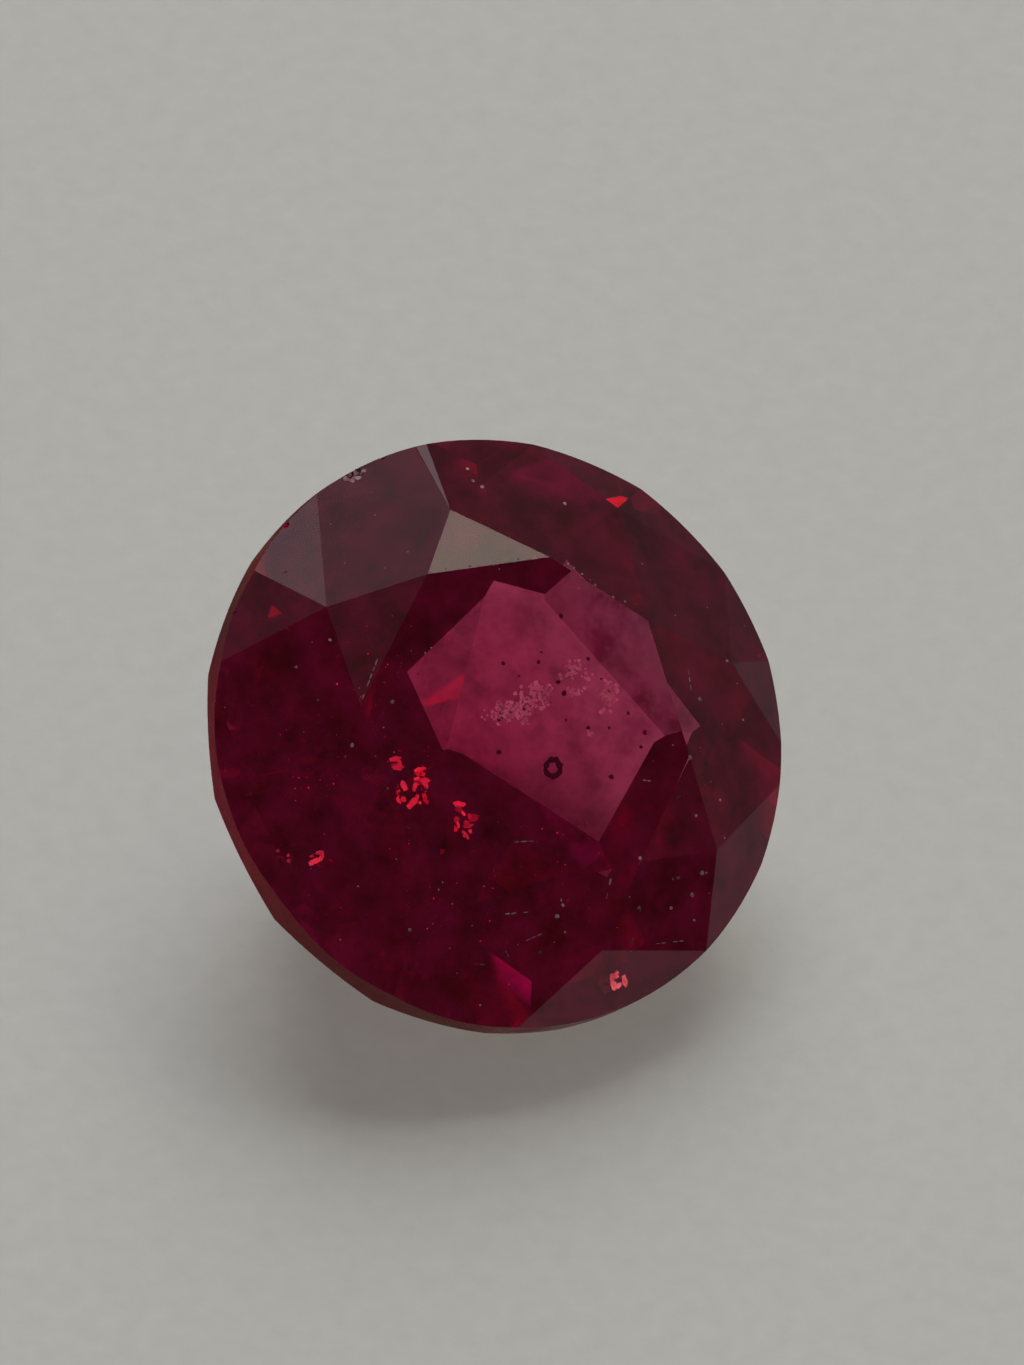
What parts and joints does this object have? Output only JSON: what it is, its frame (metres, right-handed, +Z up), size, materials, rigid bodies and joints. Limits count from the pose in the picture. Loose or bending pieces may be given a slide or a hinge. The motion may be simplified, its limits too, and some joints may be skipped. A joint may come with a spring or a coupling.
{
  "type": "ruby",
  "caption": "Loose round faceted ruby, hand cut as a brilliant with a bulging pavilion and an uneven girdle, lying on a pavilion facet with its table leaning forward.",
  "frame": {"origin": "on the surface the stone lies on, under the middle of the stone's bounding box, inside the resting facet", "axes": "+Z up from the surface, -Y towards the side that the table leans to, +X to the right seen from that side"},
  "size_m": [0.005, 0.0044, 0.0033],
  "materials": {
    "ruby": "polished"
  },
  "bodies": {
    "root": {"ruby": "ruby"}
  },
  "joints": []
}
